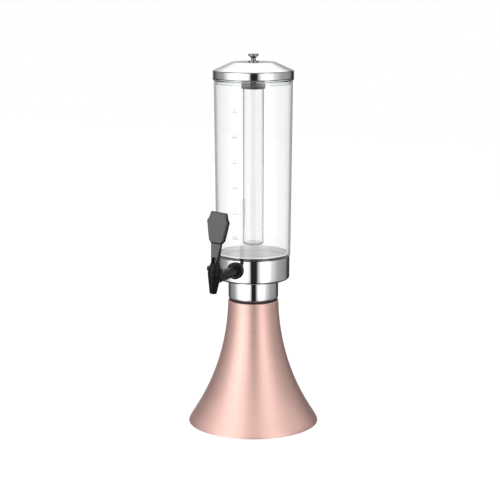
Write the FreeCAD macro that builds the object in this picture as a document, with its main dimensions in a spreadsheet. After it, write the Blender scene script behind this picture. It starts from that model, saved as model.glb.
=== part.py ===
import FreeCAD, Part
import math
import os

import Sketcher

# A beer tower dispenser: a clear tube on a chrome cup with a tap, over a spun base.
# The origin is the middle of the underside, +Z is up, and the tap faces -Y.
doc = FreeCAD.newDocument("BeerTower")
sheet = doc.addObject("Spreadsheet::Sheet", "Sizes")

SIZES = {
    # Spun base, from the floor up
    "pad_height": 1.1,
    "pad_inset": 3.0,
    "base_radius": 112.2,
    "base_height": 216.2,
    "rim_height": 1.0,
    "shell_wall": 1.2,
    "waist_radius": 43.3,
    "waist_flare": 2.8,
    "waist_pull_height": 82.4,
    "skirt_inset": 0.9,
    "skirt_pull_height": 11.0,
    "skirt_wall": 2.28,
    "lip_width": 3.5,
    "lip_round": 1.0,
    "hem_width": 6.0,
    "plate_thickness": 1.5,
    "plate_gap": 2.4,
    # Ballast and the tie bolt that clamps the base together
    "ballast_radius": 80.0,
    "ballast_height": 8.0,
    "ballast_gap": 1.0,
    "dimple_radius": 14.0,
    "dimple_drop": 1.0,
    "ballast_washer_lap": 6.0,
    "ballast_washer_height": 2.0,
    "tie_radius": 4.0,
    "tie_head_height": 5.3,
    "tie_flats": 13.0,
    "tie_nut_height": 6.5,
    "tie_hole_gap": 0.3,
    "tie_washer_radius": 8.5,
    "tie_washer_height": 1.6,
    "tie_end": 2.0,
    # Socket and swivel bush
    "socket_wall": 2.2,
    "socket_floor": 4.0,
    "socket_depth": 30.6,
    "socket_flange_lap": 2.1,
    "socket_flange_height": 1.2,
    "bush_wall": 2.2,
    "bush_flange_lap": 3.8,
    "bush_flange_height": 1.6,
    "bush_end_gap": 2.0,
    "slide_gap": 0.3,
    # Chrome neck
    "neck_inset": 0.2,
    "neck_height": 35.0,
    "neck_wall": 2.0,
    "neck_round": 4.0,
    "neck_shelf": 3.0,
    "neck_hole_radius": 14.0,
    "neck_screw_radius": 2.0,
    "neck_screw_ring": 24.0,
    "neck_screw_reach": 8.0,
    "neck_screw_head_radius": 3.5,
    "neck_screw_head_height": 2.6,
    "boss_radius": 5.0,
    "boss_height": 8.0,
    # Chrome cup
    "cup_radius": 62.3,
    "cup_height": 40.5,
    "cup_wall": 3.0,
    "cup_floor": 3.0,
    "cup_round": 4.0,
    "cup_rim_round": 1.0,
    "spigot_height": 5.8,
    "spigot_wall": 3.0,
    "spigot_root": 1.9,
    "spigot_gap": 0.3,
    "seal_groove_depth": 1.8,
    "seal_groove_height": 2.4,
    "seal_squeeze": 0.05,
    # Clear tube
    "tube_lap": 1.1,
    "tube_taper": 3.1,
    "tube_wall": 3.0,
    "ledge_lap": 1.7,
    "ledge_rise": 300.5,
    "ledge_height": 4.6,
    "mouth_height": 11.0,
    # Lid with its plug liner and knob
    "band_lap": 0.1,
    "band_height": 12.6,
    "band_step": 1.0,
    "lid_wall": 1.1,
    "step_wall": 0.1,
    "roof_rise": 13.6,
    "roof_flat_radius": 36.4,
    "liner_wall": 2.0,
    "liner_depth": 20.0,
    "liner_edge_gap": 1.0,
    "knob_foot_radius": 8.7,
    "knob_foot_height": 2.0,
    "knob_stem_radius": 4.1,
    "knob_stem_height": 4.2,
    "knob_top_radius": 8.8,
    "knob_flare_height": 4.6,
    "knob_plate_height": 2.6,
    "knob_round": 0.8,
    # Ice tube hanging under the lid
    "lid_washer_radius": 9.0,
    "lid_washer_height": 0.8,
    "spacer_radius": 6.0,
    "spacer_height": 17.4,
    "ice_screw_radius": 2.5,
    "ice_screw_head_radius": 4.7,
    "ice_screw_head_height": 3.0,
    "ice_screw_reach": 8.0,
    "cap_wall": 2.25,
    "cap_height": 25.0,
    "cap_roof": 2.0,
    "cap_gap": 0.3,
    "ice_radius": 17.75,
    "ice_wall": 2.2,
    "ice_length": 284.2,
    "ice_round": 3.0,
    "ice_seal_height": 3.0,
    "ice_seal_lap": 0.6,
    # Tap, measured from where its upright axis meets the shank's axis
    "tap_reach": 136.0,
    "tap_rise": 23.8,
    "tap_roll": 4.8,
    "gasket_height": 1.0,
    "gasket_radius": 13.5,
    "flange_radius": 14.5,
    "flange_height": 5.0,
    "flange_round": 1.5,
    "arm_radius": 8.6,
    "arm_root_radius": 9.4,
    "shank_radius": 8.0,
    "shank_bore_radius": 4.2,
    "shank_hole_gap": 0.3,
    "inner_seal_radius": 11.5,
    "inner_seal_height": 2.3,
    "shank_washer_height": 1.2,
    "lock_nut_flats": 22.0,
    "lock_nut_height": 6.0,
    "shank_end": 2.0,
    "spout_drop": 24.6,
    "spout_radius": 5.9,
    "spout_bore_radius": 4.0,
    "barrel_radius": 11.2,
    "barrel_top": 12.0,
    "barrel_step": 4.0,
    "barrel_neck_radius": 9.2,
    "barrel_neck_height": 4.0,
    "chamber_radius": 7.0,
    "seat_drop": 5.0,
    "bonnet_radius": 11.2,
    "bonnet_skirt": 7.5,
    "bonnet_foot_radius": 9.6,
    "bonnet_neck_radius": 7.0,
    "bonnet_shoulder": 1.0,
    "bonnet_height": 15.0,
    "bonnet_roof": 1.3,
    "bonnet_thread_gap": 0.3,
    "lug_reach": 13.8,
    "lug_width": 5.2,
    "spring_room_radius": 6.2,
    "stem_seal_height": 1.0,
    "stem_radius": 2.3,
    "stem_gap": 0.35,
    "stem_collar_radius": 5.2,
    "stem_collar_height": 1.0,
    "stem_collar_gap": 0.6,
    "stem_eye_radius": 2.8,
    "stem_eye_top": 3.0,
    "seat_cup_gap": 0.4,
    "seat_cup_height": 6.0,
    "seat_cup_floor": 3.0,
    "seat_cup_lip": 1.4,
    "spring_radius": 4.2,
    "spring_wire": 0.6,
    "spring_turns": 3.5,
    "spring_end_gap": 0.05,
    # Lever on its pin
    "pin_rise": 4.5,
    "pin_radius": 1.5,
    "pin_length": 9.4,
    "pin_gap": 0.05,
    "foot_gap": 0.3,
    "foot_width": 9.8,
    "foot_depth": 13.2,
    "foot_height": 3.2,
    "foot_round": 2.0,
    "slot_gap": 0.3,
    "slot_back": 4.6,
    "slot_top": 5.0,
    "blade_foot_width": 9.8,
    "blade_foot_depth": 13.2,
    "blade_top_width": 19.0,
    "blade_height": 29.0,
    "paddle_thickness": 9.0,
    "paddle_foot_width": 19.2,
    "paddle_low_width": 27.4,
    "paddle_low_rise": 5.0,
    "paddle_wide_width": 38.8,
    "paddle_side_rise": 31.6,
    "paddle_kink_width": 32.8,
    "paddle_kink_rise": 4.8,
    "paddle_top_width": 28.0,
    "paddle_top_rise": 9.9,
    "paddle_bevel": 1.6,
    "blade_inset": 2.0,
}


class Size:
    """A number together with the sheet formula that it follows."""

    def __init__(self, value, formula):
        self.value = float(value)
        self.formula = formula

    def __add__(self, other):
        other = as_size(other)
        return Size(self.value + other.value, f"({self.formula} + {other.formula})")

    def __sub__(self, other):
        other = as_size(other)
        return Size(self.value - other.value, f"({self.formula} - {other.formula})")

    def __mul__(self, other):
        other = as_size(other)
        return Size(self.value * other.value, f"({self.formula} * {other.formula})")

    def __truediv__(self, other):
        other = as_size(other)
        return Size(self.value / other.value, f"({self.formula} / {other.formula})")

    def __rsub__(self, other):
        return as_size(other) - self

    def __neg__(self):
        return Size(-self.value, f"(0 - {self.formula})")


def as_size(number):
    """Take a plain number, such as a count or a factor, as a size."""
    if isinstance(number, Size):
        return number
    return Size(number, f"({number:.9g})")


class Sizes:
    """The sheet's driving dimensions by name."""


for row, (name, number) in enumerate(SIZES.items(), start=1):
    sheet.set(f"A{row}", name)
    sheet.set(f"B{row}", str(number))
    sheet.setAlias(f"B{row}", name)
    setattr(Sizes, name, Size(number, f"Sizes.{name}"))
doc.recompute()
d = Sizes


def bind(feature, prop, size):
    """Tie one property of a feature to the sheet."""
    feature.setExpression(prop, as_size(size).formula)


def new_body(label):
    """Start one sub-part."""
    body = doc.addObject("PartDesign::Body", label.title().replace("_", ""))
    body.Label = label
    return body


def place(body, x=0, y=0, z=0, roll=0):
    """Put a body where its own origin belongs, rolled about the Y axis."""
    body.Placement = FreeCAD.Placement(
        FreeCAD.Vector(as_size(x).value, as_size(y).value, as_size(z).value),
        FreeCAD.Rotation(FreeCAD.Vector(0, 1, 0), as_size(roll).value),
    )
    bind(body, "Placement.Base.x", x)
    bind(body, "Placement.Base.y", y)
    bind(body, "Placement.Base.z", z)
    if isinstance(roll, Size):
        bind(body, "Placement.Rotation.Angle", roll)


def new_sketch(body, role, offset=0):
    """Start a sketch on one of the body's own origin planes, raised by offset."""
    plane = next(f for f in body.Origin.OriginFeatures if f.Role == role)
    sketch = body.newObject("Sketcher::SketchObject", f"{body.Name}Sketch")
    sketch.AttachmentSupport = (plane, [""])
    sketch.MapMode = "FlatFace"
    sketch.AttachmentOffset = FreeCAD.Placement(
        FreeCAD.Vector(0, 0, as_size(offset).value), FreeCAD.Rotation()
    )
    bind(sketch, "AttachmentOffset.Base.z", offset)
    return sketch


def pin_point(sketch, geometry, point, position):
    """Hold one point of a sketch at a place that follows the sheet."""
    for kind, size in zip(("DistanceX", "DistanceY"), position):
        size = as_size(size)
        index = sketch.addConstraint(
            Sketcher.Constraint(kind, -1, 1, geometry, point, size.value)
        )
        sketch.setExpression(f"Constraints[{index}]", size.formula)


def vector(position):
    """Give a sketch position as a vector."""
    return FreeCAD.Vector(as_size(position[0]).value, as_size(position[1]).value, 0)


def draw_outline(sketch, points):
    """Draw a closed outline of straight edges through points."""
    count = len(points)
    edges = []
    for index, point in enumerate(points):
        following = points[(index + 1) % count]
        line = Part.LineSegment(vector(point), vector(following))
        edges.append(sketch.addGeometry(line, False))
    for index, edge in enumerate(edges):
        following = edges[(index + 1) % count]
        sketch.addConstraint(Sketcher.Constraint("Coincident", edge, 2, following, 1))
        pin_point(sketch, edge, 1, points[index])


def draw_circle(sketch, radius, centre=(0, 0)):
    """Draw a circle whose radius and centre follow the sheet."""
    radius = as_size(radius)
    circle = Part.Circle(vector(centre), FreeCAD.Vector(0, 0, 1), radius.value)
    index = sketch.addGeometry(circle, False)
    constraint = sketch.addConstraint(Sketcher.Constraint("Radius", index, radius.value))
    sketch.setExpression(f"Constraints[{constraint}]", radius.formula)
    pin_point(sketch, index, 3, centre)


def draw_spline(sketch, poles):
    """Draw one smooth curve whose control points follow the sheet."""
    curve = Part.BSplineCurve([vector(p) for p in poles], None, None, False, 3, None, False)
    spline = sketch.addGeometry(curve, False)
    first = None
    for index, pole in enumerate(poles):
        circle = Part.Circle(vector(pole), FreeCAD.Vector(0, 0, 1), 1.0)
        mark = sketch.addGeometry(circle, True)
        sketch.addConstraint(
            Sketcher.Constraint(
                "InternalAlignment:Sketcher::BSplineControlPoint", mark, 3, spline, index
            )
        )
        if first is None:
            first = mark
            sketch.addConstraint(Sketcher.Constraint("Weight", mark, 1.0))
        else:
            sketch.addConstraint(Sketcher.Constraint("Equal", first, mark))
        pin_point(sketch, mark, 3, pole)
    return spline


def draw_line(sketch, start, end):
    """Draw one straight edge with both ends on the sheet."""
    line = sketch.addGeometry(Part.LineSegment(vector(start), vector(end)), False)
    pin_point(sketch, line, 1, start)
    pin_point(sketch, line, 2, end)


def hexagon(flats):
    """Give the six corners of a hexagon from its width across flats."""
    corner = flats / math.sqrt(3)
    turns = [math.radians(60 * step) for step in range(6)]
    return [(corner * math.cos(turn), corner * math.sin(turn)) for turn in turns]


def ring_places(radius, count, first_turn=0.0):
    """Give evenly spaced places on a circle about the upright axis."""
    turns = [math.radians(first_turn + 360 / count * step) for step in range(count)]
    return [(radius * math.cos(turn), radius * math.sin(turn)) for turn in turns]


def revolve(body, sketch, axis="V_Axis", kind="PartDesign::Revolution"):
    """Turn a sketch once round an axis of its own, adding or cutting."""
    feature = body.newObject(kind, f"{body.Name}Turned")
    feature.Profile = sketch
    feature.ReferenceAxis = (sketch, [axis])
    feature.Angle = 360
    doc.recompute()
    return feature


def turned_body(label, outline):
    """Make a sub-part by turning a half section about its own Z axis."""
    body = new_body(label)
    sketch = new_sketch(body, "XZ_Plane")
    draw_outline(sketch, outline)
    revolve(body, sketch)
    return body


def bore(body, outline):
    """Cut a turned hollow about the body's own Z axis."""
    sketch = new_sketch(body, "XZ_Plane")
    draw_outline(sketch, outline)
    before = body.Shape.Volume
    revolve(body, sketch, kind="PartDesign::Groove")
    check_cut(body, before)


def check_cut(body, before):
    """Stop if a cut took nothing away."""
    if body.Shape.Volume >= before:
        raise RuntimeError(f"a cut in {body.Label} removed nothing")


def extrude(body, sketch, length, reverse=False, both_ways=False):
    """Raise a sketch into a solid."""
    feature = body.newObject("PartDesign::Pad", f"{body.Name}Pad")
    feature.Profile = sketch
    feature.SideType = "Symmetric" if both_ways else "One side"
    feature.Reversed = reverse
    bind(feature, "Length", length)
    doc.recompute()
    return feature


def pocket(body, sketch, length, reverse=False, both_ways=False):
    """Cut a sketch into the solid for a given length."""
    before = body.Shape.Volume
    feature = body.newObject("PartDesign::Pocket", f"{body.Name}Pocket")
    feature.Profile = sketch
    feature.SideType = "Symmetric" if both_ways else "One side"
    feature.Reversed = reverse
    bind(feature, "Length", length)
    doc.recompute()
    check_cut(body, before)


def round_rings(body, radius, rings):
    """Round circular edges, each named by its radius and height in the body."""
    names = []
    for index, edge in enumerate(body.Tip.Shape.Edges, start=1):
        if not isinstance(edge.Curve, Part.Circle):
            continue
        for ring_radius, height in rings:
            same_radius = abs(edge.Curve.Radius - as_size(ring_radius).value) < 0.01
            same_height = abs(edge.Curve.Center.z - as_size(height).value) < 0.01
            if same_radius and same_height:
                names.append(f"Edge{index}")
    dress(body, "PartDesign::Fillet", "Radius", radius, names)


def dress(body, kind, prop, size, names):
    """Add a fillet or a chamfer on named edges of the body."""
    if not names:
        raise RuntimeError(f"no edge of {body.Label} to dress")
    base = body.Tip
    feature = body.newObject(kind, f"{body.Name}Dress")
    feature.Base = (base, names)
    bind(feature, prop, size)
    doc.recompute()


def edges_where(body, test):
    """Name the edges of the body whose centre and ends pass a test."""
    names = []
    for index, edge in enumerate(body.Tip.Shape.Edges, start=1):
        if test(edge):
            names.append(f"Edge{index}")
    return names


# Heights where the stacked pieces meet
plate_top = d.pad_height + d.plate_thickness
hem_top = plate_top + d.shell_wall
ballast_top = plate_top + d.ballast_height
dimple_top = ballast_top - d.dimple_drop
dimple_under = dimple_top - d.plate_thickness
socket_flange_top = d.base_height + d.socket_flange_height
socket_bottom = d.base_height - d.socket_depth
socket_floor_top = socket_bottom + d.socket_floor
bush_bottom = socket_floor_top + d.bush_end_gap
neck_bottom = socket_flange_top + d.bush_flange_height
neck_top = neck_bottom + d.neck_height
cup_floor_top = neck_top + d.cup_floor
cup_shoulder = neck_top + d.cup_height
spigot_top = cup_shoulder + d.spigot_height
ledge_top = cup_shoulder + d.ledge_rise
tube_top = ledge_top + d.mouth_height
band_top = ledge_top + d.band_height
roof_edge = band_top + d.band_step
roof_top = roof_edge + d.roof_rise
roof_under = roof_top - d.lid_wall

# The base shell is one spun sheet with a rolled lip above and a hem below.
shell = new_body("base_shell")
shell_sketch = new_sketch(shell, "XZ_Plane")
lip_under = d.base_height - d.shell_wall
inner_rim = d.base_radius - d.shell_wall
waist_pull_radius = d.waist_radius + d.waist_flare
skirt_pull_radius = d.base_radius - d.skirt_inset
lip_radius = d.waist_radius - d.lip_width
hem_radius = inner_rim - d.hem_width
draw_spline(
    shell_sketch,
    [
        (d.waist_radius, d.base_height),
        (waist_pull_radius, d.waist_pull_height),
        (skirt_pull_radius, d.skirt_pull_height),
        (d.base_radius, d.rim_height),
    ],
)
draw_spline(
    shell_sketch,
    [
        (d.base_radius - d.skirt_wall, hem_top),
        (skirt_pull_radius - d.skirt_wall, d.skirt_pull_height),
        (waist_pull_radius - d.shell_wall, d.waist_pull_height),
        (d.waist_radius - d.shell_wall, lip_under),
    ],
)
draw_line(shell_sketch, (d.base_radius, d.rim_height), (inner_rim, d.rim_height))
draw_line(shell_sketch, (inner_rim, d.rim_height), (inner_rim, plate_top))
draw_line(shell_sketch, (inner_rim, plate_top), (hem_radius, plate_top))
draw_line(shell_sketch, (hem_radius, plate_top), (hem_radius, hem_top))
draw_line(shell_sketch, (hem_radius, hem_top), (d.base_radius - d.skirt_wall, hem_top))
draw_line(shell_sketch, (d.waist_radius - d.shell_wall, lip_under), (lip_radius, lip_under))
draw_line(shell_sketch, (lip_radius, lip_under), (lip_radius, d.base_height))
draw_line(shell_sketch, (lip_radius, d.base_height), (d.waist_radius, d.base_height))
revolve(shell, shell_sketch)
round_rings(shell, d.lip_round, [(d.waist_radius, d.base_height)])

# The bottom plate closes the shell, with a dimple that hides the bolt head.
tie_hole = d.tie_radius + d.tie_hole_gap
dimple_outer = d.dimple_radius + d.plate_thickness
plate_radius = inner_rim - d.plate_gap
turned_body(
    "base_plate",
    [
        (tie_hole, dimple_under),
        (d.dimple_radius, dimple_under),
        (d.dimple_radius, d.pad_height),
        (plate_radius, d.pad_height),
        (plate_radius, plate_top),
        (dimple_outer, plate_top),
        (dimple_outer, dimple_top),
        (tie_hole, dimple_top),
    ],
)

# A foam disc glued under the plate covers the bolt head and stands on the table.
pad_radius = plate_radius - d.pad_inset
turned_body(
    "foot_pad",
    [(0, 0), (pad_radius, 0), (pad_radius, d.pad_height), (0, d.pad_height)],
)

# A cast ring on the plate keeps the full tower upright.
ballast_hole = dimple_outer + d.ballast_gap
ballast = turned_body(
    "ballast",
    [
        (ballast_hole, plate_top),
        (d.ballast_radius, plate_top),
        (d.ballast_radius, ballast_top),
        (ballast_hole, ballast_top),
    ],
)
round_rings(ballast, d.lip_round, [(d.ballast_radius, ballast_top)])


def washer(label, inner, outer, bottom, height):
    """Make a flat ring that lies level."""
    return turned_body(
        label,
        [(inner, bottom), (outer, bottom), (outer, bottom + height), (inner, bottom + height)],
    )


def hex_nut(label, flats, hole, bottom, height):
    """Make a hexagon nut that lies level, with a plain bore for its thread."""
    body = new_body(label)
    sketch = new_sketch(body, "XY_Plane", offset=bottom)
    draw_outline(sketch, hexagon(flats))
    draw_circle(sketch, hole)
    extrude(body, sketch, height)
    return body


ballast_nut_bottom = ballast_top + d.ballast_washer_height
washer(
    "ballast_washer",
    tie_hole,
    ballast_hole + d.ballast_washer_lap,
    ballast_top,
    d.ballast_washer_height,
)
hex_nut("ballast_nut", d.tie_flats, d.tie_radius, ballast_nut_bottom, d.tie_nut_height)

# The long bolt ties the plate, the ballast and the socket together.
tie_nut_bottom = socket_floor_top + d.tie_washer_height
tie_top = tie_nut_bottom + d.tie_nut_height + d.tie_end
tie_bolt = new_body("tie_bolt")
head_sketch = new_sketch(tie_bolt, "XY_Plane", offset=dimple_under - d.tie_head_height)
draw_outline(head_sketch, hexagon(d.tie_flats))
extrude(tie_bolt, head_sketch, d.tie_head_height)
rod_sketch = new_sketch(tie_bolt, "XY_Plane", offset=dimple_under)
draw_circle(rod_sketch, d.tie_radius)
extrude(tie_bolt, rod_sketch, tie_top - dimple_under)
washer("tie_washer", tie_hole, d.tie_washer_radius, socket_floor_top, d.tie_washer_height)
hex_nut("tie_nut", d.tie_flats, d.tie_radius, tie_nut_bottom, d.tie_nut_height)

# The socket hangs in the shell's lip and holds the swivel bush.
socket_radius = lip_radius - d.slide_gap
socket_bore = socket_radius - d.socket_wall
socket_flange_radius = socket_radius + d.socket_flange_lap
turned_body(
    "socket",
    [
        (tie_hole, socket_bottom),
        (socket_radius, socket_bottom),
        (socket_radius, d.base_height),
        (socket_flange_radius, d.base_height),
        (socket_flange_radius, socket_flange_top),
        (socket_bore, socket_flange_top),
        (socket_bore, socket_floor_top),
        (tie_hole, socket_floor_top),
    ],
)
bush_radius = socket_bore - d.slide_gap
bush_bore = bush_radius - d.bush_wall
bush_flange_radius = bush_radius + d.bush_flange_lap
turned_body(
    "neck_bush",
    [
        (bush_bore, bush_bottom),
        (bush_radius, bush_bottom),
        (bush_radius, socket_flange_top),
        (bush_flange_radius, socket_flange_top),
        (bush_flange_radius, neck_bottom),
        (bush_bore, neck_bottom),
    ],
)

# The chrome neck stands on the bush, with a hollow spigot inside it.
neck_radius = d.waist_radius - d.neck_inset
spigot_radius = bush_bore - d.slide_gap
spigot_bore = spigot_radius - d.neck_wall
neck_bore = neck_radius - d.neck_wall
neck = turned_body(
    "neck",
    [
        (spigot_bore, bush_bottom),
        (spigot_radius, bush_bottom),
        (spigot_radius, neck_bottom),
        (neck_radius, neck_bottom),
        (neck_radius, neck_top),
        (d.neck_hole_radius, neck_top),
        (d.neck_hole_radius, neck_top - d.neck_shelf),
        (neck_bore, neck_top - d.neck_shelf),
        (neck_bore, neck_bottom + d.neck_wall),
        (spigot_bore, neck_bottom + d.neck_wall),
    ],
)
round_rings(neck, d.neck_round, [(neck_radius, neck_bottom)])
screw_places = ring_places(d.neck_screw_ring, 3, first_turn=90.0)
shelf_sketch = new_sketch(neck, "XY_Plane", offset=neck_top)
for screw_place in screw_places:
    draw_circle(shelf_sketch, d.neck_screw_radius + d.slide_gap, screw_place)
pocket(neck, shelf_sketch, d.neck_shelf)

# Three pan head screws hold the cup on the neck.
neck_screws = new_body("neck_screws")
shank_sketch = new_sketch(neck_screws, "XY_Plane", offset=neck_top - d.neck_shelf)
head_sketch = new_sketch(neck_screws, "XY_Plane", offset=neck_top - d.neck_shelf)
for screw_place in screw_places:
    draw_circle(shank_sketch, d.neck_screw_radius, screw_place)
    draw_circle(head_sketch, d.neck_screw_head_radius, screw_place)
extrude(neck_screws, shank_sketch, d.neck_shelf + d.neck_screw_reach)
extrude(neck_screws, head_sketch, d.neck_screw_head_height, reverse=True)

# The chrome cup takes the tap at its side and the tube on its shoulder.
cup_bore = d.cup_radius - d.cup_wall
tube_foot_radius = d.cup_radius + d.tube_lap
tube_bore = tube_foot_radius - d.tube_wall
cup_spigot = tube_bore - d.spigot_gap
cup_spigot_bore = cup_spigot - d.spigot_wall
groove_radius = cup_spigot - d.seal_groove_depth
groove_bottom = cup_shoulder + (d.spigot_height - d.seal_groove_height) / 2
groove_top = groove_bottom + d.seal_groove_height
spigot_foot = cup_shoulder - d.spigot_root
cup = turned_body(
    "cup",
    [
        (0, neck_top),
        (d.cup_radius, neck_top),
        (d.cup_radius, cup_shoulder),
        (cup_spigot, cup_shoulder),
        (cup_spigot, groove_bottom),
        (groove_radius, groove_bottom),
        (groove_radius, groove_top),
        (cup_spigot, groove_top),
        (cup_spigot, spigot_top),
        (cup_spigot_bore, spigot_top),
        (cup_spigot_bore, spigot_foot),
        (cup_bore, spigot_foot - (cup_bore - cup_spigot_bore)),
        (cup_bore, cup_floor_top),
        (0, cup_floor_top),
    ],
)
round_rings(cup, d.cup_round, [(d.cup_radius, neck_top)])
round_rings(cup, d.cup_rim_round, [(d.cup_radius, cup_shoulder)])
boss_sketch = new_sketch(cup, "XY_Plane", offset=cup_floor_top)
hole_sketch = new_sketch(cup, "XY_Plane", offset=neck_top)
for screw_place in screw_places:
    draw_circle(boss_sketch, d.boss_radius, screw_place)
    draw_circle(hole_sketch, d.neck_screw_radius, screw_place)
extrude(cup, boss_sketch, d.boss_height)
pocket(cup, hole_sketch, d.neck_screw_reach + d.slide_gap, reverse=True)
tap_height = neck_top + d.tap_rise
tap_hole_sketch = new_sketch(cup, "XZ_Plane")
draw_circle(tap_hole_sketch, d.shank_radius + d.shank_hole_gap, (0, tap_height))
pocket(cup, tap_hole_sketch, d.tap_reach, reverse=True)

# A ring in the cup's groove seals the tube.
turned_body(
    "tube_seal",
    [
        (groove_radius, groove_bottom),
        (tube_bore - d.seal_squeeze, groove_bottom),
        (tube_bore - d.seal_squeeze, groove_top),
        (groove_radius, groove_top),
    ],
)

# The clear tube widens upward and has an outward ledge for the lid.
ledge_bottom = ledge_top - d.ledge_height
tube_mouth_radius = tube_foot_radius + d.tube_taper
ledge_radius = tube_mouth_radius + d.ledge_lap
mouth_bore = tube_mouth_radius - d.tube_wall
turned_body(
    "tube",
    [
        (tube_bore, cup_shoulder),
        (tube_foot_radius, cup_shoulder),
        (tube_mouth_radius, ledge_bottom - (ledge_radius - tube_mouth_radius)),
        (ledge_radius, ledge_bottom),
        (ledge_radius, ledge_top),
        (tube_mouth_radius, ledge_top),
        (tube_mouth_radius, tube_top),
        (mouth_bore, tube_top),
        (mouth_bore, ledge_bottom),
    ],
)

# The lid is a pressed cap: an upright band, a cone and a flat top.
band_radius = ledge_radius + d.band_lap
band_bore = band_radius - d.lid_wall
roof_bore = band_radius - d.band_step - d.step_wall
roof_slope = (d.roof_rise - d.lid_wall) / (roof_bore - d.roof_flat_radius)
screw_hole = d.ice_screw_radius + d.slide_gap
lid = turned_body(
    "lid",
    [
        (band_bore, ledge_top),
        (band_radius, ledge_top),
        (band_radius, band_top),
        (band_radius - d.band_step, roof_edge),
        (d.roof_flat_radius, roof_top),
        (screw_hole, roof_top),
        (screw_hole, roof_under),
        (d.roof_flat_radius, roof_under),
        (roof_bore, roof_edge),
        (band_bore, band_top),
    ],
)


def roof_inside(radius):
    """Give the height of the lid's cone, on its inside, at a radius."""
    return roof_edge + (roof_bore - radius) * roof_slope


# A clear ring inside the lid plugs the tube's mouth.
liner_radius = mouth_bore - d.slide_gap
liner_bore = liner_radius - d.liner_wall
liner_edge = roof_bore - d.liner_edge_gap
turned_body(
    "lid_liner",
    [
        (liner_bore, tube_top - d.liner_depth),
        (liner_radius, tube_top - d.liner_depth),
        (liner_radius, tube_top),
        (liner_edge, tube_top),
        (liner_edge, roof_inside(liner_edge)),
        (liner_bore, roof_inside(liner_bore)),
    ],
)

# The knob is turned with a foot, a waist and a flared top.
knob_waist = roof_top + d.knob_foot_height
knob_flare = knob_waist + d.knob_stem_height
knob_plate = knob_flare + d.knob_flare_height
knob_top = knob_plate + d.knob_plate_height
knob = turned_body(
    "knob",
    [
        (d.ice_screw_radius, roof_top),
        (d.knob_foot_radius, roof_top),
        (d.knob_foot_radius, knob_waist),
        (d.knob_stem_radius, knob_waist),
        (d.knob_stem_radius, knob_flare),
        (d.knob_top_radius, knob_plate),
        (d.knob_top_radius, knob_top),
        (0, knob_top),
        (0, roof_top + d.ice_screw_reach),
        (d.ice_screw_radius, roof_top + d.ice_screw_reach),
    ],
)
round_rings(knob, d.knob_round, [(d.knob_foot_radius, knob_waist), (d.knob_top_radius, knob_top)])

# One long screw holds the knob, the lid, the spacer and the ice cap together.
washer_under = roof_under - d.lid_washer_height
spacer_under = washer_under - d.spacer_height
cap_under = spacer_under - d.cap_roof
washer("lid_washer", screw_hole, d.lid_washer_radius, washer_under, d.lid_washer_height)
washer("ice_spacer", screw_hole, d.spacer_radius, spacer_under, d.spacer_height)
turned_body(
    "ice_cap_screw",
    [
        (0, cap_under - d.ice_screw_head_height),
        (d.ice_screw_head_radius, cap_under - d.ice_screw_head_height),
        (d.ice_screw_head_radius, cap_under),
        (d.ice_screw_radius, cap_under),
        (d.ice_screw_radius, roof_top + d.ice_screw_reach),
        (0, roof_top + d.ice_screw_reach),
    ],
)

# The cap takes the mouth of the ice tube, which closes against a seal.
cap_bore = d.ice_radius + d.cap_gap
cap_radius = cap_bore + d.cap_wall
cap_bottom = spacer_under - d.cap_height
ice_cap = turned_body(
    "ice_cap",
    [
        (cap_bore, cap_bottom),
        (cap_radius, cap_bottom),
        (cap_radius, spacer_under),
        (screw_hole, spacer_under),
        (screw_hole, cap_under),
        (cap_bore, cap_under),
    ],
)
round_rings(ice_cap, d.lip_round, [(cap_radius, spacer_under), (cap_radius, cap_bottom)])
ice_top = cap_under - d.ice_seal_height
ice_bottom = ice_top - d.ice_length
ice_bore = d.ice_radius - d.ice_wall
washer("ice_seal", ice_bore - d.ice_seal_lap, d.ice_radius, ice_top, d.ice_seal_height)
ice_tube = turned_body(
    "ice_tube",
    [
        (0, ice_bottom),
        (d.ice_radius, ice_bottom),
        (d.ice_radius, ice_top),
        (ice_bore, ice_top),
        (ice_bore, ice_bottom + d.ice_wall),
        (0, ice_bottom + d.ice_wall),
    ],
)
round_rings(ice_tube, d.ice_round, [(d.ice_radius, ice_bottom)])


def tap_place(body):
    """Put a tap piece on the tap's upright axis, rolled as the tap is."""
    place(body, y=-d.tap_reach, z=tap_height, roll=d.tap_roll)


# Distances along the shank, from the tap's upright axis towards the cup
cup_face = d.tap_reach - d.cup_radius
flange_back = cup_face - d.gasket_height
flange_front = flange_back - d.flange_height
cup_inside = d.tap_reach - cup_bore
inner_seal_back = cup_inside + d.inner_seal_height
lock_nut_front = inner_seal_back + d.shank_washer_height
lock_nut_back = lock_nut_front + d.lock_nut_height
shank_tip = lock_nut_back + d.shank_end
barrel_neck_top = d.barrel_top + d.barrel_neck_height

# The tap's body is one moulding: barrel, spout, arm, flange and shank.
tap_body = new_body("tap_body")
tap_place(tap_body)
barrel_sketch = new_sketch(tap_body, "XZ_Plane")
draw_outline(
    barrel_sketch,
    [
        (0, -d.spout_drop),
        (d.spout_radius, -d.spout_drop),
        (d.barrel_radius, d.barrel_top - d.barrel_step),
        (d.barrel_radius, d.barrel_top),
        (d.barrel_neck_radius, d.barrel_top),
        (d.barrel_neck_radius, barrel_neck_top),
        (0, barrel_neck_top),
    ],
)
revolve(tap_body, barrel_sketch)
arm_sketch = new_sketch(tap_body, "YZ_Plane")
draw_outline(
    arm_sketch,
    [
        (0, 0),
        (0, d.chamber_radius),
        (d.chamber_radius, d.arm_root_radius),
        (flange_front, d.arm_radius),
        (flange_front, d.flange_radius),
        (flange_back, d.flange_radius),
        (flange_back, d.shank_radius),
        (shank_tip, d.shank_radius),
        (shank_tip, 0),
    ],
)
revolve(tap_body, arm_sketch, axis="H_Axis")
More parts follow.
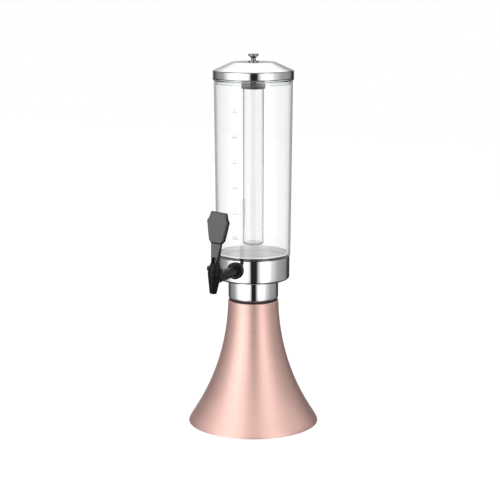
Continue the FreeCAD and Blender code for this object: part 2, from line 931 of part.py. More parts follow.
bore(
    tap_body,
    [
        (0, -d.spout_drop),
        (d.spout_bore_radius, -d.spout_drop),
        (d.spout_bore_radius, -d.seat_drop),
        (d.chamber_radius, -d.seat_drop),
        (d.chamber_radius, barrel_neck_top),
        (0, barrel_neck_top),
    ],
)
inlet_sketch = new_sketch(tap_body, "XZ_Plane")
draw_circle(inlet_sketch, d.shank_bore_radius)
pocket(tap_body, inlet_sketch, shank_tip)


def flange_rim(edge):
    """Tell whether an edge is the outer rim of the tap's flange."""
    is_ring = isinstance(edge.Curve, Part.Circle)
    return is_ring and abs(edge.Curve.Radius - d.flange_radius.value) < 0.01 and (
        edge.BoundBox.YMax - edge.BoundBox.YMin < 0.01
    ) and abs(edge.BoundBox.YMax - flange_front.value) < 0.01


dress(
    tap_body,
    "PartDesign::Fillet",
    "Radius",
    d.flange_round,
    edges_where(tap_body, flange_rim),
)


def wall_seal(label, radius, near, far, wall_radius, inside):
    """Make a rubber disc with one flat face and one face bent to the cup's wall."""
    body = new_body(label)
    place(body, z=tap_height)
    sketch = new_sketch(body, "XZ_Plane", offset=near)
    draw_circle(sketch, radius)
    draw_circle(sketch, d.shank_radius + d.shank_hole_gap)
    extrude(body, sketch, far - near)
    wall_sketch = new_sketch(body, "XY_Plane", offset=-radius)
    draw_circle(wall_sketch, wall_radius)
    if inside:
        draw_circle(wall_sketch, far * 2)
    pocket(body, wall_sketch, radius * 2, reverse=True)
    return body


# A gasket outside and a seal inside make the cup's round wall flat for the tap.
wall_seal(
    "tap_gasket",
    d.gasket_radius,
    d.cup_radius - d.gasket_radius / 2,
    d.cup_radius + d.gasket_height,
    d.cup_radius,
    inside=False,
)
wall_seal(
    "tap_inner_seal",
    d.inner_seal_radius,
    cup_bore - d.inner_seal_height,
    cup_bore + d.inner_seal_radius,
    cup_bore,
    inside=True,
)
shank_washer = new_body("tap_washer")
tap_place(shank_washer)
washer_sketch = new_sketch(shank_washer, "XZ_Plane", offset=-inner_seal_back)
draw_circle(washer_sketch, d.inner_seal_radius)
draw_circle(washer_sketch, d.shank_radius + d.shank_hole_gap)
extrude(shank_washer, washer_sketch, d.shank_washer_height, reverse=True)
lock_nut = new_body("tap_lock_nut")
tap_place(lock_nut)
nut_sketch = new_sketch(lock_nut, "XZ_Plane", offset=-lock_nut_front)
draw_outline(nut_sketch, hexagon(d.lock_nut_flats))
draw_circle(nut_sketch, d.shank_radius)
extrude(lock_nut, nut_sketch, d.lock_nut_height, reverse=True)

# The bonnet screws over the barrel's neck and houses the spring.
seal_top = barrel_neck_top + d.stem_seal_height
bonnet_top = d.barrel_top + d.bonnet_height
spring_roof = bonnet_top - d.bonnet_roof
bonnet_shoulder = d.barrel_top + d.bonnet_skirt + d.bonnet_shoulder
thread_radius = d.barrel_neck_radius + d.bonnet_thread_gap
bonnet = turned_body(
    "bonnet",
    [
        (0, d.barrel_top),
        (d.bonnet_radius, d.barrel_top),
        (d.bonnet_radius, d.barrel_top + d.bonnet_skirt),
        (d.bonnet_foot_radius, bonnet_shoulder),
        (d.bonnet_neck_radius, bonnet_top),
        (0, bonnet_top),
    ],
)
tap_place(bonnet)
lug_sketch = new_sketch(bonnet, "XY_Plane", offset=d.barrel_top)
half_lug = d.lug_width / 2
draw_outline(
    lug_sketch,
    [
        (-d.lug_reach, -half_lug),
        (d.lug_reach, -half_lug),
        (d.lug_reach, half_lug),
        (-d.lug_reach, half_lug),
    ],
)
extrude(bonnet, lug_sketch, d.bonnet_skirt)
bore(
    bonnet,
    [
        (0, d.barrel_top),
        (thread_radius, d.barrel_top),
        (thread_radius, seal_top),
        (d.spring_room_radius, seal_top),
        (d.spring_room_radius, spring_roof),
        (d.stem_radius + d.stem_gap, spring_roof),
        (d.stem_radius + d.stem_gap, bonnet_top),
        (0, bonnet_top),
    ],
)
stem_seal = washer(
    "stem_seal",
    d.stem_radius + d.stem_gap,
    d.barrel_neck_radius,
    barrel_neck_top,
    d.stem_seal_height,
)
tap_place(stem_seal)

# The stem lifts a rubber cup off the seat when the lever is pulled.
collar_bottom = seal_top + d.stem_collar_gap
collar_top = collar_bottom + d.stem_collar_height
pin_height = bonnet_top + d.pin_rise
stem_bottom = d.seat_cup_floor - d.seat_drop
stem = turned_body(
    "valve_stem",
    [
        (0, stem_bottom),
        (d.stem_radius, stem_bottom),
        (d.stem_radius, collar_bottom),
        (d.stem_collar_radius, collar_bottom),
        (d.stem_collar_radius, collar_top),
        (d.stem_radius, collar_top),
        (d.stem_radius, bonnet_top + d.foot_gap),
        (d.stem_eye_radius, bonnet_top + d.foot_gap),
        (d.stem_eye_radius, pin_height + d.stem_eye_top),
        (0, pin_height + d.stem_eye_top),
    ],
)
tap_place(stem)
eye_sketch = new_sketch(stem, "YZ_Plane")
draw_circle(eye_sketch, d.pin_radius, (0, pin_height))
pocket(stem, eye_sketch, d.stem_eye_radius * 2, both_ways=True)
seat_cup_top = d.seat_cup_height - d.seat_drop
seat_cup_radius = d.chamber_radius - d.seat_cup_gap
seat_cup = turned_body(
    "seat_cup",
    [
        (0, -d.seat_drop),
        (seat_cup_radius - d.seat_cup_lip, -d.seat_drop),
        (seat_cup_radius, d.seat_cup_lip - d.seat_drop),
        (seat_cup_radius, stem_bottom),
        (d.stem_radius + d.seat_cup_lip, seat_cup_top),
        (d.stem_radius, seat_cup_top),
        (d.stem_radius, stem_bottom),
        (0, stem_bottom),
    ],
)
tap_place(seat_cup)
lever_pin = new_body("lever_pin")
tap_place(lever_pin)
pin_sketch = new_sketch(lever_pin, "YZ_Plane")
draw_circle(pin_sketch, d.pin_radius, (0, pin_height))
extrude(lever_pin, pin_sketch, d.pin_length, both_ways=True)

# A wire spring under the bonnet's roof holds the valve shut.
spring = new_body("valve_spring")
tap_place(spring)
wire_inset = d.spring_wire / 2 + d.spring_end_gap
wire_sketch = new_sketch(spring, "XZ_Plane")
draw_circle(wire_sketch, d.spring_wire / 2, (d.spring_radius, collar_top + wire_inset))
coil = spring.newObject("PartDesign::AdditiveHelix", "SpringCoil")
coil.Profile = wire_sketch
coil.ReferenceAxis = (wire_sketch, ["V_Axis"])
coil.Mode = "height-turns-angle"
bind(coil, "Height", spring_roof - collar_top - wire_inset * 2)
bind(coil, "Turns", d.spring_turns)
doc.recompute()

# The lever: a slotted foot on the pin, a tapered blade and a broad paddle.
foot_bottom = bonnet_top + d.foot_gap
foot_top = foot_bottom + d.foot_height
blade_top = foot_top + d.blade_height
lever = new_body("lever")
tap_place(lever)


def level_rectangle(body, height, width, depth):
    """Sketch a rectangle about the tap's axis at a height."""
    sketch = new_sketch(body, "XY_Plane", offset=height)
    half_width = width / 2
    half_depth = depth / 2
    draw_outline(
        sketch,
        [
            (-half_width, -half_depth),
            (half_width, -half_depth),
            (half_width, half_depth),
            (-half_width, half_depth),
        ],
    )
    return sketch


extrude(
    lever,
    level_rectangle(lever, foot_bottom, d.foot_width, d.foot_depth),
    d.foot_height,
)
blade = lever.newObject("PartDesign::AdditiveLoft", "Blade")
blade.Profile = level_rectangle(lever, foot_top, d.blade_foot_width, d.blade_foot_depth)
blade_top_depth = d.paddle_thickness - d.blade_inset * 2
blade.Sections = [level_rectangle(lever, blade_top, d.blade_top_width, blade_top_depth)]
blade.Ruled = True
doc.recompute()
paddle_sketch = new_sketch(lever, "XZ_Plane")
paddle_low = blade_top + d.paddle_low_rise
paddle_wide = paddle_low + d.paddle_side_rise
paddle_kink = paddle_wide + d.paddle_kink_rise
right_edge = [
    (d.paddle_foot_width / 2, blade_top),
    (d.paddle_low_width / 2, paddle_low),
    (d.paddle_wide_width / 2, paddle_wide),
    (d.paddle_kink_width / 2, paddle_kink),
    (d.paddle_top_width / 2, paddle_kink + d.paddle_top_rise),
]
left_edge = [(-half, height) for half, height in reversed(right_edge)]
draw_outline(paddle_sketch, right_edge + left_edge)
extrude(lever, paddle_sketch, d.paddle_thickness, both_ways=True)


def paddle_front(edge):
    """Tell whether an edge borders the front face of the paddle."""
    face_depth = -d.paddle_thickness.value / 2
    box = edge.BoundBox
    return abs(box.YMin - face_depth) < 0.01 and abs(box.YMax - face_depth) < 0.01


def foot_front(edge):
    """Tell whether an edge is the lower front edge of the foot."""
    box = edge.BoundBox
    at_front = abs(box.YMax + d.foot_depth.value / 2) < 0.01
    return at_front and abs(box.ZMax - foot_bottom.value) < 0.01


dress(
    lever,
    "PartDesign::Chamfer",
    "Size",
    d.paddle_bevel,
    edges_where(lever, paddle_front),
)
dress(
    lever,
    "PartDesign::Fillet",
    "Radius",
    d.foot_round,
    edges_where(lever, foot_front),
)
slot_sketch = new_sketch(lever, "YZ_Plane")
draw_outline(
    slot_sketch,
    [
        (-d.foot_depth, foot_bottom - d.foot_gap),
        (d.slot_back, foot_bottom - d.foot_gap),
        (d.slot_back, pin_height + d.slot_top),
        (-d.foot_depth, pin_height + d.slot_top),
    ],
)
pocket(lever, slot_sketch, (d.stem_eye_radius + d.slot_gap) * 2, both_ways=True)
pin_hole_sketch = new_sketch(lever, "YZ_Plane")
draw_circle(pin_hole_sketch, d.pin_radius + d.pin_gap, (0, pin_height))
pocket(lever, pin_hole_sketch, d.foot_width, both_ways=True)

doc.recompute()
for item in doc.Objects:
    if "Invalid" in item.State or "Error" in item.State:
        raise RuntimeError(f"{item.Name} did not build: {item.State}")
os.makedirs("parts", exist_ok=True)
for item in doc.Objects:
    if item.TypeId == "PartDesign::Body":
        if item.Shape.isNull() or not item.Shape.isValid():
            raise RuntimeError(f"{item.Label} has no valid shape")
        item.Shape.exportStep(f"parts/{item.Label}.step")
        print(item.Label, len(item.Shape.Solids), round(item.Shape.Volume, 1))
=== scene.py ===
import math

import bmesh
import bpy
from mathutils import Matrix, Vector


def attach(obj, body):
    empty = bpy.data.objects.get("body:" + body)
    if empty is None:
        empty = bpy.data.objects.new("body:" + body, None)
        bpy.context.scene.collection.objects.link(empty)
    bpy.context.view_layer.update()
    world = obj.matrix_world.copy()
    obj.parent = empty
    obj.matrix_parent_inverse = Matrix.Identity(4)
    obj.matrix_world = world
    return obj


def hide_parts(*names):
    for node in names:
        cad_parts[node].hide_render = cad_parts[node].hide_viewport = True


# A beer tower dispenser, dressed in the order in which it is put together.
# Each section's own sizes are in millimetres; the model is in metres.
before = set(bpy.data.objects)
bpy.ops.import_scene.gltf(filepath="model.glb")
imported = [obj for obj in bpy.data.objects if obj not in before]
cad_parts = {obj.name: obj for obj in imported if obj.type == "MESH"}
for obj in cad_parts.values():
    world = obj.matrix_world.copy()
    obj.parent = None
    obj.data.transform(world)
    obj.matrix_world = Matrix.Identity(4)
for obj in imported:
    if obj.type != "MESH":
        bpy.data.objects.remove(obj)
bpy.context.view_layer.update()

# Bottom plate: a pressed steel disc that closes the base from below.
# It is powder coated black, which leaves a soft skin of fine pebbles.


def linear(hex_colour):
    """Turn an sRGB hex colour into the linear colour that shaders take."""
    mixed = []
    for place in (1, 3, 5):
        channel = int(hex_colour[place : place + 2], 16) / 255
        dark = channel <= 0.04045
        mixed.append(channel / 12.92 if dark else ((channel + 0.055) / 1.055) ** 2.4)
    return (*mixed, 1.0)


def add_node(tree, kind, output, inputs=None, **settings):
    """Add a node with its settings and links, and give one of its outputs."""
    made = tree.nodes.new(kind)
    for name, value in settings.items():
        setattr(made, name, value)
    for name, value in (inputs or {}).items():
        if isinstance(value, bpy.types.NodeSocket):
            tree.links.new(value, made.inputs[name])
        else:
            made.inputs[name].default_value = value
    return made.outputs[output]


def new_surface(name, colour, **numbers):
    """Start a material with plain values on its shader's own sockets."""
    material = bpy.data.materials.new(name)
    material.use_nodes = True
    tree = material.node_tree
    shader = tree.nodes["Principled BSDF"]
    shader.inputs["Base Color"].default_value = linear(colour)
    for socket, value in numbers.items():
        shader.inputs[socket.replace("_", " ")].default_value = value
    place = add_node(tree, "ShaderNodeTexCoord", "Object")
    return material, tree, shader, place


def wire(tree, shader, **outputs):
    """Link patterns to the shader's sockets."""
    for socket, output in outputs.items():
        tree.links.new(output, shader.inputs[socket.replace("_", " ")])


def per_metre(spacing):
    """Turn a pattern's spacing in millimetres into a texture scale."""
    return 1000 / spacing


def cover(material, *names):
    """Give CAD nodes whose shape is right their material."""
    for name in names:
        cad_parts[name].material_slots[0].material = material


powder_coat, tree, shader, place = new_surface(
    "black_powder_coated_steel", "#1b1b1d", Roughness=0.55, IOR=1.5
)
pebbles = add_node(
    tree, "ShaderNodeTexNoise", "Fac", {"Vector": place, "Scale": per_metre(0.9), "Detail": 2.0}
)
shades = add_node(
    tree, "ShaderNodeMix", 2,
    {0: pebbles, 6: linear("#161618"), 7: linear("#232326")}, data_type="RGBA",
)
sheen = add_node(
    tree, "ShaderNodeMapRange", "Result", {"Value": pebbles, "To Min": 0.42, "To Max": 0.66}
)
skin = add_node(tree, "ShaderNodeBump", "Normal", {"Height": pebbles, "Distance": 0.00004})
wire(tree, shader, Base_Color=shades, Roughness=sheen, Normal=skin)
cover(powder_coat, "base_plate")

# Foot pad: a disc of black closed-cell foam, glued under the plate.
# Its cut skin shows tiny round cells and has no gloss.
foam, tree, shader, place = new_surface(
    "black_closed_cell_foam", "#19191a", Roughness=0.95, IOR=1.45
)
cells = add_node(
    tree, "ShaderNodeTexVoronoi", "Distance", {"Vector": place, "Scale": per_metre(0.8)}
)
shades = add_node(
    tree, "ShaderNodeMix", 2,
    {0: cells, 6: linear("#0f0f10"), 7: linear("#242425")}, data_type="RGBA",
)
skin = add_node(tree, "ShaderNodeBump", "Normal", {"Height": cells, "Distance": 0.0001})
wire(tree, shader, Base_Color=shades, Normal=skin)
cover(foam, "foot_pad")

# Ballast: a ring of grey iron, cast in sand and left as it comes out.
# The sand leaves a coarse, dull, slightly rusty grain.
cast_iron, tree, shader, place = new_surface(
    "sand_cast_iron", "#3a3937", Metallic=0.7, Roughness=0.7
)
sand = add_node(
    tree, "ShaderNodeTexNoise", "Fac", {"Vector": place, "Scale": per_metre(1.6), "Detail": 4.0}
)
shades = add_node(
    tree, "ShaderNodeMix", 2,
    {0: sand, 6: linear("#2b2a29"), 7: linear("#54483e")}, data_type="RGBA",
)
skin = add_node(tree, "ShaderNodeBump", "Normal", {"Height": sand, "Distance": 0.0003})
wire(tree, shader, Base_Color=shades, Normal=skin)
cover(cast_iron, "ballast")

# Washers, nuts, screws, bolt, hinge pin and spring: zinc-plated steel.
# The clear passivation clouds the bright zinc a little, unevenly.
zinc, tree, shader, place = new_surface(
    "zinc_plated_steel", "#c3c6c8", Metallic=1.0, Roughness=0.34
)
clouds = add_node(
    tree, "ShaderNodeTexNoise", "Fac", {"Vector": place, "Scale": per_metre(4.0), "Detail": 3.0}
)
shades = add_node(
    tree, "ShaderNodeMix", 2,
    {0: clouds, 6: linear("#aeb2b6"), 7: linear("#d2d3cf")}, data_type="RGBA",
)
sheen = add_node(
    tree, "ShaderNodeMapRange", "Result", {"Value": clouds, "To Min": 0.22, "To Max": 0.46}
)
wire(tree, shader, Base_Color=shades, Roughness=sheen)
cover(zinc, "ballast_washer", "ballast_nut", "tie_bolt", "tie_washer", "tie_nut")
cover(zinc, "neck_screws", "ice_cap_screw", "tap_washer", "lever_pin", "valve_spring")

# Base shell: one stainless sheet, spun over a former into a trumpet, with a
# rolled lip and a hem. A copper-coloured satin coat covers it, and the
# spinning tool's fine rings still show through.


def rounded(outline, steps=5):
    """Round the corners of a closed outline that give a radius after r and z."""
    points = []
    for index, corner in enumerate(outline):
        here = Vector(corner[:2])
        if len(corner) == 2:
            points.append(here)
            continue
        before = (Vector(outline[index - 1][:2]) - here).normalized()
        after = (Vector(outline[(index + 1) % len(outline)][:2]) - here).normalized()
        half = before.angle(after) / 2
        centre = here + (before + after).normalized() * (corner[2] / math.sin(half))
        reach = corner[2] / math.tan(half)
        start, end = here + before * reach - centre, here + after * reach - centre
        for step in range(steps + 1):
            arm = start.lerp(end, step / steps).normalized()
            points.append(centre + arm * corner[2])
    return points


def turned(outline, steps=144):
    """Turn a closed outline of radii and heights about the upright axis."""
    points = [point / 1000 for point in rounded(outline)]
    corners, rings, faces = [], [], []
    for radius, height in points:
        count = steps if radius > 1e-6 else 1
        rings.append(range(len(corners), len(corners) + count))
        for step in range(count):
            turn = math.tau * step / steps
            corners.append((radius * math.cos(turn), radius * math.sin(turn), height))
    for index, ring in enumerate(rings):
        other = rings[(index + 1) % len(rings)]
        for step in range(steps if len(ring) + len(other) > 2 else 0):
            following = (step + 1) % steps
            loop = [ring[step % len(ring)], ring[following % len(ring)]]
            loop += [other[following % len(other)], other[step % len(other)]]
            faces.append(list(dict.fromkeys(loop)))
    return corners, faces


def shape(name, corners, faces, crease=32):
    """Make a smooth mesh whose edges stay sharp above an angle in degrees."""
    mesh = bpy.data.meshes.new(name)
    mesh.from_pydata(corners, [], faces)
    loose = bmesh.new()
    loose.from_mesh(mesh)
    bmesh.ops.recalc_face_normals(loose, faces=loose.faces)
    loose.to_mesh(mesh)
    loose.free()
    mesh.shade_smooth()
    mesh.set_sharp_from_angle(angle=math.radians(crease))
    return mesh


def piece(name, mesh, material, body, slot, *nodes, stand=None):
    """Show a mesh as a piece of a body that stands for CAD nodes."""
    made = bpy.data.objects.new(name, mesh)
    bpy.context.scene.collection.objects.link(made)
    mesh.materials.append(material)
    if stand:
        made.matrix_world = stand
    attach(made, body)
    if nodes:
        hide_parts(*nodes)
    return made


def bezier(poles, count):
    """Give points along a smooth curve with four control points."""
    points = []
    for step in range(count + 1):
        level = [Vector(pole) for pole in poles]
        while len(level) > 1:
            level = [a.lerp(b, step / count) for a, b in zip(level, level[1:])]
        points.append(tuple(level[0]))
    return points


copper_steel, tree, shader, place = new_surface(
    "copper_coated_spun_stainless_steel", "#efc5ba", Metallic=0.8, Roughness=0.4
)
# Rings lie 0.3 mm apart on the real sheet, and are drawn 2 mm apart to show.
flattened = add_node(
    tree, "ShaderNodeVectorMath", "Vector", {0: place, 1: (0.02, 0.02, 1.0)}, operation="MULTIPLY"
)
rings = add_node(
    tree, "ShaderNodeTexNoise", "Fac",
    {"Vector": flattened, "Scale": per_metre(2.0), "Detail": 3.0},
)
shades = add_node(
    tree, "ShaderNodeMix", 2,
    {0: rings, 6: linear("#ebbeb3"), 7: linear("#f3ccc2")}, data_type="RGBA",
)
sheen = add_node(
    tree, "ShaderNodeMapRange", "Result", {"Value": rings, "To Min": 0.34, "To Max": 0.45}
)
skin = add_node(tree, "ShaderNodeBump", "Normal", {"Height": rings, "Distance": 0.00002})
wire(tree, shader, Base_Color=shades, Roughness=sheen, Normal=skin)

outside = bezier([(43.3, 216.2), (46.1, 82.4), (111.3, 11.0), (112.2, 1.0)], 56)
inside = bezier([(109.92, 3.8), (109.02, 11.0), (44.9, 82.4), (42.1, 215.0)], 40)
lip = [(*outside[0], 1.0)]
hem = [(111.0, 1.0), (111.0, 2.6), (105.0, 2.6), (105.0, 3.8)]
shell_outline = lip + outside[1:] + hem + inside + [(39.8, 215.0), (39.8, 216.2, 0.5)]
piece(
    "base_shell_spun",
    shape("base_shell_spun", *turned(shell_outline, 200)),
    copper_steel,
    "base",
    "copper_base",
    "base_shell",
)

# Socket: a moulded black ABS cup, pressed into the shell's lip. Its flange
# shows as a thin dark ring, with the fine spark texture of its mould.
black_abs, tree, shader, place = new_surface(
    "black_moulded_abs", "#151517", Roughness=0.45, IOR=1.53
)
sparks = add_node(
    tree, "ShaderNodeTexNoise", "Fac", {"Vector": place, "Scale": per_metre(0.5), "Detail": 2.0}
)
shades = add_node(
    tree, "ShaderNodeMix", 2,
    {0: sparks, 6: linear("#111113"), 7: linear("#1a1a1d")}, data_type="RGBA",
)
skin = add_node(tree, "ShaderNodeBump", "Normal", {"Height": sparks, "Distance": 0.00002})
wire(tree, shader, Base_Color=shades, Normal=skin)
socket_outline = [
    (4.3, 185.6), (39.5, 185.6, 1.0), (39.5, 216.2), (41.6, 216.2), (41.6, 217.4, 0.4),
    (37.3, 217.4, 0.4), (37.3, 189.6, 0.6), (4.3, 189.6),
]
piece(
    "socket_moulded",
    shape("socket_moulded", *turned(socket_outline)),
    black_abs,
    "base",
    "black_abs",
    "socket",
)

# Swivel bush: a turned ring of black acetal that the neck stands on.
# Acetal is waxy, with the faint rings that the lathe leaves.
acetal, tree, shader, place = new_surface(
    "black_turned_acetal", "#1a1a1c", Roughness=0.38, IOR=1.48
)
flattened = add_node(
    tree, "ShaderNodeVectorMath", "Vector", {0: place, 1: (0.05, 0.05, 1.0)}, operation="MULTIPLY"
)
rings = add_node(
    tree, "ShaderNodeTexNoise", "Fac", {"Vector": flattened, "Scale": per_metre(0.6)}
)
shades = add_node(
    tree, "ShaderNodeMix", 2,
    {0: rings, 6: linear("#141416"), 7: linear("#202023")}, data_type="RGBA",
)
sheen = add_node(
    tree, "ShaderNodeMapRange", "Result", {"Value": rings, "To Min": 0.3, "To Max": 0.46}
)
wire(tree, shader, Base_Color=shades, Roughness=sheen)
bush_outline = [
    (34.8, 191.6, 0.4), (37.0, 191.6, 0.4), (37.0, 217.4), (40.8, 217.4),
    (40.8, 219.0, 0.3), (34.8, 219.0),
]
piece(
    "neck_bush_turned",
    shape("neck_bush_turned", *turned(bush_outline)),
    acetal,
    "neck_bush",
    "black_pom",
    "neck_bush",
)
cover(acetal, "lid_washer", "valve_stem")

# Neck: a drawn steel sleeve with bright chrome plate, rounded below, with a
# spigot that turns in the bush. Chrome mirrors the room, and the plate's
# polish leaves a very faint haze.
chrome, tree, shader, place = new_surface(
    "polished_chrome_plate", "#eeeff1", Metallic=1.0, Roughness=0.05
)
haze = add_node(
    tree, "ShaderNodeTexNoise", "Fac", {"Vector": place, "Scale": per_metre(9.0), "Detail": 3.0}
)
shades = add_node(
    tree, "ShaderNodeMix", 2,
    {0: haze, 6: linear("#ebecef"), 7: linear("#f2f3f4")}, data_type="RGBA",
)
sheen = add_node(
    tree, "ShaderNodeMapRange", "Result", {"Value": haze, "To Min": 0.03, "To Max": 0.075}
)
wire(tree, shader, Base_Color=shades, Roughness=sheen)
neck_outline = [
    (32.5, 191.6), (34.5, 191.6, 0.5), (34.5, 219.0), (43.1, 219.0, 4.0), (43.1, 254.0),
    (14.0, 254.0), (14.0, 251.0), (41.1, 251.0), (41.1, 221.0), (32.5, 221.0),
]
piece(
    "neck_drawn",
    shape("neck_drawn", *turned(neck_outline)),
    chrome,
    "tower",
    "chrome_plate",
    "neck",
)

# Tube seal, tap gasket, inner seal and stem seal: rings and discs of black
# nitrile rubber, matt and slightly dusty from their mould.
nitrile, tree, shader, place = new_surface(
    "black_nitrile_rubber", "#141414", Roughness=0.8, IOR=1.52
)
dust = add_node(
    tree, "ShaderNodeTexNoise", "Fac", {"Vector": place, "Scale": per_metre(1.2), "Detail": 4.0}
)
shades = add_node(
    tree, "ShaderNodeMix", 2,
    {0: dust, 6: linear("#0f0f0f"), 7: linear("#1f1f20")}, data_type="RGBA",
)
skin = add_node(tree, "ShaderNodeBump", "Normal", {"Height": dust, "Distance": 0.00003})
wire(tree, shader, Base_Color=shades, Normal=skin)
cover(nitrile, "tube_seal", "tap_gasket", "tap_inner_seal", "stem_seal")

# Cup: a deep chrome dish that carries the tap and the tube. The tube sits on
# its shoulder, round a spigot with a groove for the seal, and three bosses
# on its floor take the neck's screws.
boss_ring, boss_radius, boss_count = 24.0, 5.0, 3
cup_outline = [
    (0.0, 254.0), (62.3, 254.0, 4.0), (62.3, 294.5, 1.0), (60.1, 294.5), (60.1, 296.2),
    (58.3, 296.2), (58.3, 298.6), (60.1, 298.6), (60.1, 300.3, 0.6), (57.1, 300.3, 0.6),
    (57.1, 292.6, 1.0), (59.3, 290.4, 1.0), (59.3, 257.0, 2.5), (0.0, 257.0),
]
cup = shape("cup_dish", *turned(cup_outline, 180))
piece("cup_dish", cup, chrome, "tower", "chrome_plate", "cup")
satin_chrome, tree, shader, place = new_surface(
    "satin_chrome_plate", "#f6f7f8", Metallic=0.15, Roughness=0.22
)
haze = add_node(
    tree, "ShaderNodeTexNoise", "Fac", {"Vector": place, "Scale": per_metre(6.0), "Detail": 3.0}
)
shades = add_node(
    tree, "ShaderNodeMix", 2,
    {0: haze, 6: linear("#f2f3f5"), 7: linear("#fafafb")}, data_type="RGBA",
)
sheen = add_node(
    tree, "ShaderNodeMapRange", "Result", {"Value": haze, "To Min": 0.16, "To Max": 0.28}
)
wire(tree, shader, Base_Color=shades, Roughness=sheen)
# Inside, and on the spigot, the plate is satin. A rubber lining at the foot of
# the spigot shows as a dark line under the tube.
floor_low, inside_wall = 256.9, 59.4
shoulder, spigot_wall, lining_top = 294.6, 58.0, 296.1
cup.materials.append(satin_chrome)
cup.materials.append(nitrile)
for face in cup.polygons:
    wall, height = math.hypot(*face.center[:2]) * 1000, face.center.z * 1000
    if height > floor_low and wall < inside_wall:
        face.material_index = 1
    elif height > shoulder and wall > spigot_wall:
        face.material_index = 1 if height > lining_top else 2
boss_outline = [(0.0, 256.5), (boss_radius, 256.5), (boss_radius, 265.0, 0.8), (0.0, 265.0)]
for number in range(boss_count):
    turn = math.radians(90 + 360 / boss_count * number)
    shift = Vector((math.cos(turn), math.sin(turn), 0)) * boss_ring / 1000
    corners, faces = turned(boss_outline, 40)
    corners = [Vector(corner) + shift for corner in corners]
    boss = shape(f"cup_boss_{number + 1}", corners, faces)
    piece(f"cup_boss_{number + 1}", boss, satin_chrome, "tower", "chrome_plate")

# Ice seal and seat cup: moulded in translucent silicone. One closes the ice
# tube against its cap, the other shuts the tap. Light soaks into them.
silicone, tree, shader, place = new_surface(
    "translucent_silicone_rubber", "#cfd2d2", Roughness=0.4, IOR=1.41, Transmission_Weight=0.45
)
bloom = add_node(
    tree, "ShaderNodeTexNoise", "Fac", {"Vector": place, "Scale": per_metre(2.5), "Detail": 2.0}
)
shades = add_node(
    tree, "ShaderNodeMix", 2,
    {0: bloom, 6: linear("#c3c7c8"), 7: linear("#dcdedd")}, data_type="RGBA",
)
sheen = add_node(
    tree, "ShaderNodeMapRange", "Result", {"Value": bloom, "To Min": 0.32, "To Max": 0.5}
)
wire(tree, shader, Base_Color=shades, Roughness=sheen)
cover(silicone, "ice_seal", "seat_cup")

# Tube: clear polycarbonate, moulded with a slight taper and an outward ledge
# for the lid. The moulding leaves slow ripples that only gloss shows.
clear_polycarbonate, tree, shader, place = new_surface(
    "clear_moulded_polycarbonate", "#ffffff", Roughness=0.0, IOR=1.585, Transmission_Weight=1.0
)
ripples = add_node(
    tree, "ShaderNodeTexNoise", "Fac", {"Vector": place, "Scale": per_metre(60.0), "Detail": 1.0}
)
skin = add_node(tree, "ShaderNodeBump", "Normal", {"Height": ripples, "Distance": 0.00001})
sheen = add_node(
    tree, "ShaderNodeMapRange", "Result", {"Value": ripples, "To Min": 0.0, "To Max": 0.001}
)
# Where the wall is seen slanting it turns grey: painted shade along the edges.
slant = add_node(tree, "ShaderNodeLayerWeight", "Facing", {"Blend": 0.5})
depth = add_node(
    tree, "ShaderNodeMapRange", "Result", {"Value": slant, "From Min": 0.7, "From Max": 0.97}
)
shades = add_node(
    tree, "ShaderNodeMix", 2,
    {0: depth, 6: linear("#ffffff"), 7: linear("#a6a9ad")}, data_type="RGBA",
)
wire(tree, shader, Base_Color=shades, Roughness=sheen, Normal=skin)
tube_foot, tube_mouth = (63.4, 294.5), (66.5, 591.7)
tube_outline = [
    (60.4, 294.5), tube_foot, tube_mouth, (68.2, 593.4, 0.4), (68.2, 595.0, 0.4),
    (66.5, 595.0), (66.5, 606.0, 1.2), (63.5, 606.0, 1.2), (63.5, 593.4),
]
piece(
    "tube_moulded",
    shape("tube_moulded", *turned(tube_outline, 200)),
    clear_polycarbonate,
    "tower",
    "clear_tube",
    "tube",
)

# Marks: half litres up to three, printed in pale grey ink on the tube, right
# above the tap. Each is a short line with its number over it.
ink, tree, shader, place = new_surface("pale_grey_screen_ink", "#a9adb1", Roughness=0.5, IOR=1.5)
dots = add_node(
    tree, "ShaderNodeTexNoise", "Fac", {"Vector": place, "Scale": per_metre(0.7), "Detail": 1.0}
)
shades = add_node(
    tree, "ShaderNodeMix", 2,
    {0: dots, 6: linear("#9da1a6"), 7: linear("#b6b9bc")}, data_type="RGBA",
)
wire(tree, shader, Base_Color=shades)
lowest_mark, mark_step = 331.2, 42.4
line_width, line_height, number_height, number_gap, ink_thickness = 13.0, 0.7, 4.6, 1.2, 0.06
line_steps, font_share = 12, 1.4
for index, number in enumerate(("0.5", "1", "1.5", "2", "2.5", "3")):
    words = bpy.data.curves.new(f"mark_{index + 1}", "FONT")
    words.body = number
    words.align_x = "CENTER"
    words.size = number_height * font_share
    holder = bpy.data.objects.new(f"mark_{index + 1}_flat", words)
    flat = bpy.data.meshes.new_from_object(holder)
    loose = bmesh.new()
    loose.from_mesh(flat)
    bmesh.ops.translate(loose, vec=(0, number_gap, 0), verts=loose.verts)
    row = [
        [loose.verts.new((line_width * (step / line_steps - 0.5), y, 0)) for y in (0, line_height)]
        for step in range(line_steps + 1)
    ]
    for left, right in zip(row, row[1:]):
        loose.faces.new((left[0], right[0], right[1], left[1]))
    for vert in loose.verts:
        across, up = vert.co.x, vert.co.y + lowest_mark + mark_step * index
        rise = (up - tube_foot[1]) / (tube_mouth[1] - tube_foot[1])
        radius = tube_foot[0] + (tube_mouth[0] - tube_foot[0]) * rise + ink_thickness
        turn = across / radius
        vert.co = Vector((radius * math.sin(turn), -radius * math.cos(turn), up)) / 1000
    loose.to_mesh(flat)
    loose.free()
    bpy.data.objects.remove(holder)
    piece(f"mark_{index + 1}", flat, ink, "tower", "clear_tube")
